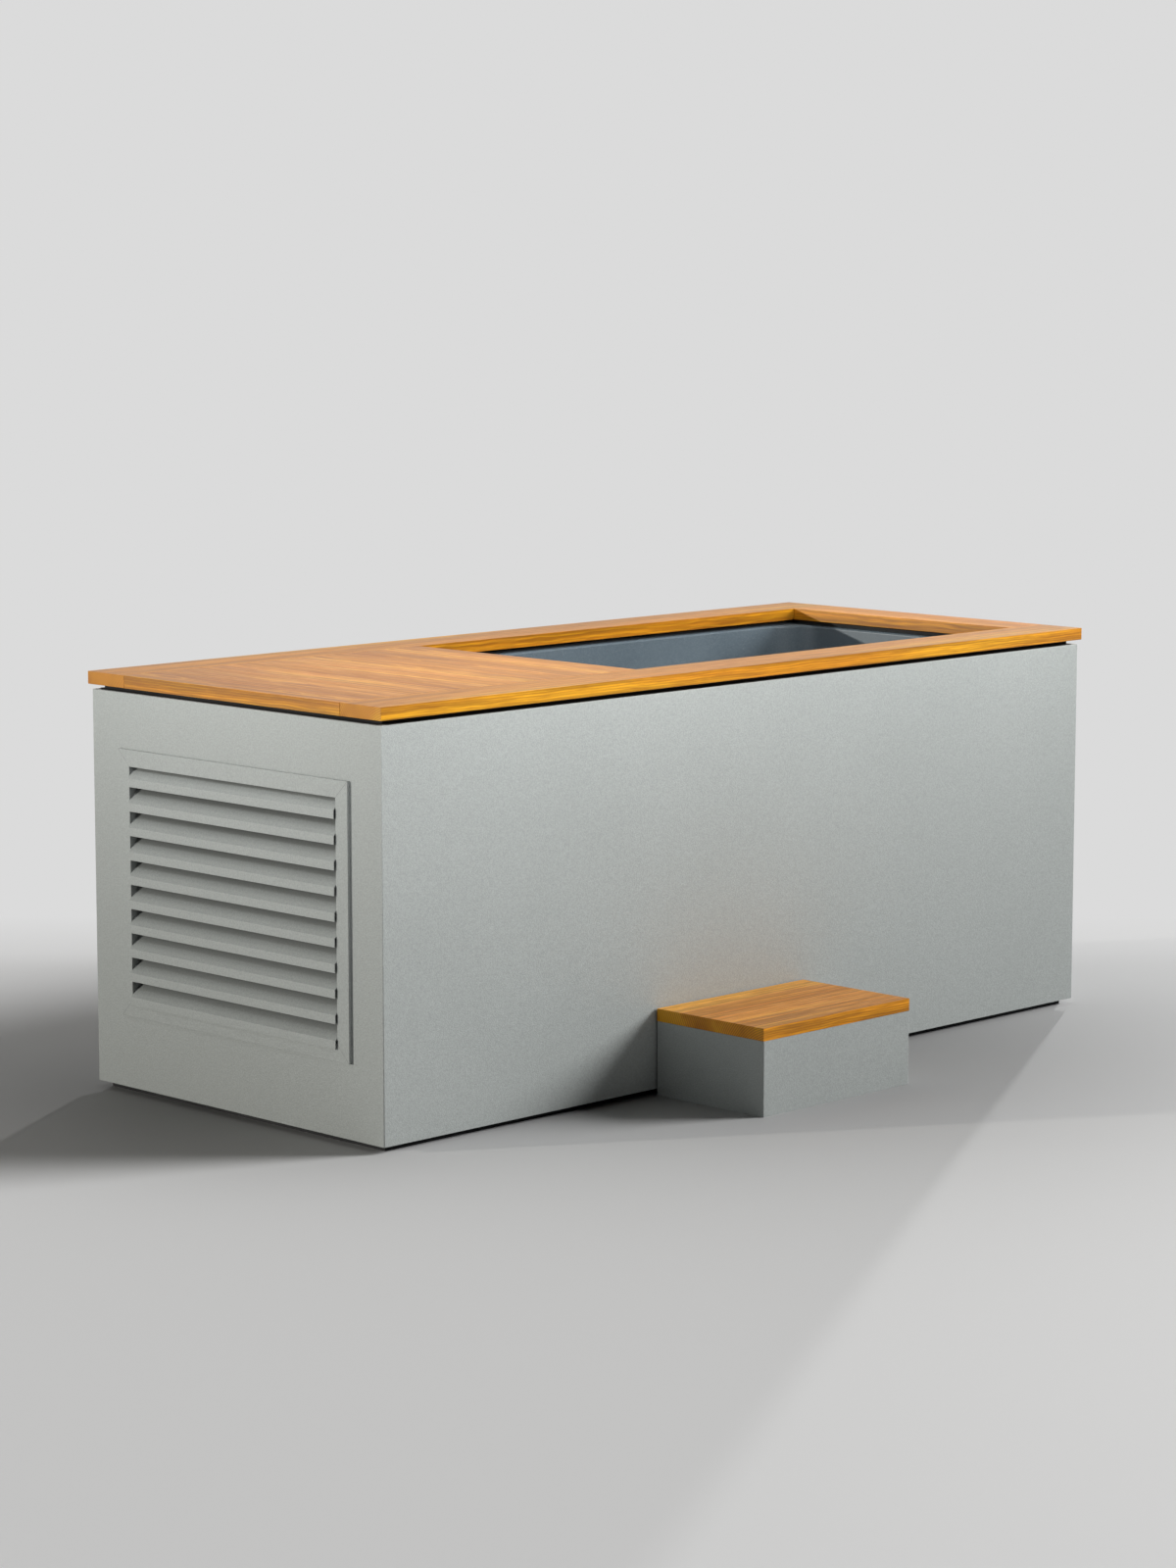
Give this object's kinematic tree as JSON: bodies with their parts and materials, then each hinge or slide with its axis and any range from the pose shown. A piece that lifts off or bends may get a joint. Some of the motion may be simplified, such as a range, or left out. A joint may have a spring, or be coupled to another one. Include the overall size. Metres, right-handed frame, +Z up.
{
  "type": "cold plunge tub",
  "caption": "Cold plunge tub in a powder-coated cabinet with a timber top, a louvred chiller bay under a hinged hatch, and a loose step.",
  "frame": {"origin": "centre of the cabinet footprint, on the floor", "axes": "+X along the length towards the tub end, away from the louvre; -Y towards the step; +Z up"},
  "size_m": [2.106, 1.171, 0.85],
  "materials": {
    "cabinet_paint": "powder coat with a fine sand texture",
    "black_board": "matt black board",
    "frame_steel": "galvanised",
    "timber": "oiled hardwood",
    "stainless": "brushed",
    "tub_finish": "speckled semi-matt coating",
    "foam": "rigid foam",
    "grey_pvc": "solvent-welded plastic pipe",
    "white_plastic": "moulded",
    "cartridge_paper": "pleated filter cloth",
    "handle_red": "moulded",
    "blue_plastic": "moulded",
    "brass": "machined",
    "black_plastic": "moulded",
    "motor_paint": "painted casting",
    "impeller_metal": "machined",
    "tray_metal": "folded sheet",
    "coil_metal": "fins on copper tube",
    "black_paint": "gloss black paint",
    "copper_tube": "drawn copper tube",
    "box_plastic": "moulded",
    "key_plastic": "moulded"
  },
  "bodies": {
    "cabinet": {"base_board": "black_board", "base_frame": "frame_steel", "upper_frame": "frame_steel", "cross_beam": "frame_steel", "front_panel": "cabinet_paint", "back_panel": "cabinet_paint", "left_panel": "cabinet_paint", "right_panel": "cabinet_paint", "bulkhead": "frame_steel", "louvre_frame": "cabinet_paint", "louvre_blades": "cabinet_paint", "shadow_gap_spacers": "black_board", "front_rail": "timber", "back_rail": "timber", "end_rail": "timber", "hinge_fixed_leaves": "stainless", "hinge_pins": "stainless", "tub_shell": "tub_finish", "tub_insulation": "foam", "suction_fitting": "grey_pvc", "suction_cover": "white_plastic", "return_fitting": "grey_pvc", "floor_drain": "stainless", "suction_pipe": "grey_pvc", "suction_valve": "grey_pvc", "pump_volute": "black_plastic", "pump_motor": "motor_paint", "pump_stand": "frame_steel", "filter_pipes": "grey_pvc", "filter_housing": "white_plastic", "filter_cartridge": "cartridge_paper", "heat_exchanger": "black_plastic", "return_pipe": "grey_pvc", "return_valve": "grey_pvc", "drain_pipe": "grey_pvc", "drain_valve": "brass", "equipment_tray": "tray_metal", "condenser": "coil_metal", "fan_shroud": "tray_metal", "fan_bracket": "frame_steel", "fan_motor": "black_paint", "compressor": "black_paint", "refrigerant_pipes": "copper_tube", "control_box": "box_plastic", "cable_gland": "black_plastic"},
    "hatch": {"hatch_boards": "timber", "hatch_battens": "frame_steel", "hinge_moving_leaves": "stainless"},
    "step": {"step_box": "cabinet_paint", "step_board": "timber", "step_screws": "stainless"},
    "fan": {"fan_rotor": "black_plastic"},
    "impeller": {"pump_impeller": "impeller_metal"},
    "lid": {"filter_lid": "blue_plastic"},
    "suction_handle": {"suction_valve_handle": "handle_red"},
    "return_handle": {"return_valve_handle": "handle_red"},
    "drain_handle": {"drain_valve_handle": "handle_red"},
    "power_key": {"power_button": "handle_red"},
    "colder_key": {"colder_button": "key_plastic"},
    "warmer_key": {"warmer_button": "key_plastic"}
  },
  "joints": [
    {"name": "hatch_hinge", "type": "hinge", "parent": "cabinet", "child": "hatch", "pos_m": [-0.2497, 0, 0.8225], "axis": [0, 1, 0], "range_deg": [0, 95]},
    {"name": "step_slide", "type": "slide", "parent": "cabinet", "child": "step", "axis": [0, -1, 0], "range_m": [0, 0.3]},
    {"name": "fan_spin", "type": "hinge", "parent": "cabinet", "child": "fan", "pos_m": [-0.9, 0, 0.4025], "axis": [1, 0, 0], "continuous": true},
    {"name": "pump_spin", "type": "hinge", "parent": "cabinet", "child": "impeller", "pos_m": [-0.47, -0.19, 0.205], "axis": [1, 0, 0], "continuous": true},
    {"name": "lid_turn", "type": "hinge", "parent": "cabinet", "child": "lid", "pos_m": [-0.455, 0.19, 0.52], "axis": [0, 0, 1], "continuous": true},
    {"name": "suction_valve_turn", "type": "hinge", "parent": "cabinet", "child": "suction_handle", "pos_m": [-0.383, -0.19, 0.24], "axis": [0, 0, 1], "range_deg": [0, 90]},
    {"name": "return_valve_turn", "type": "hinge", "parent": "cabinet", "child": "return_handle", "pos_m": [-0.515, 0.33, 0.645], "axis": [0, 0, 1], "range_deg": [0, 90]},
    {"name": "drain_valve_turn", "type": "hinge", "parent": "cabinet", "child": "drain_handle", "pos_m": [-0.364, 0.29, 0.12], "axis": [0, 0, 1], "range_deg": [0, 90]},
    {"name": "power_press", "type": "slide", "parent": "cabinet", "child": "power_key", "axis": [1, 0, 0], "range_m": [0, 0.0015], "stiffness_N_per_m": 300},
    {"name": "colder_press", "type": "slide", "parent": "cabinet", "child": "colder_key", "axis": [1, 0, 0], "range_m": [0, 0.0015], "stiffness_N_per_m": 300},
    {"name": "warmer_press", "type": "slide", "parent": "cabinet", "child": "warmer_key", "axis": [1, 0, 0], "range_m": [0, 0.0015], "stiffness_N_per_m": 300}
  ]
}
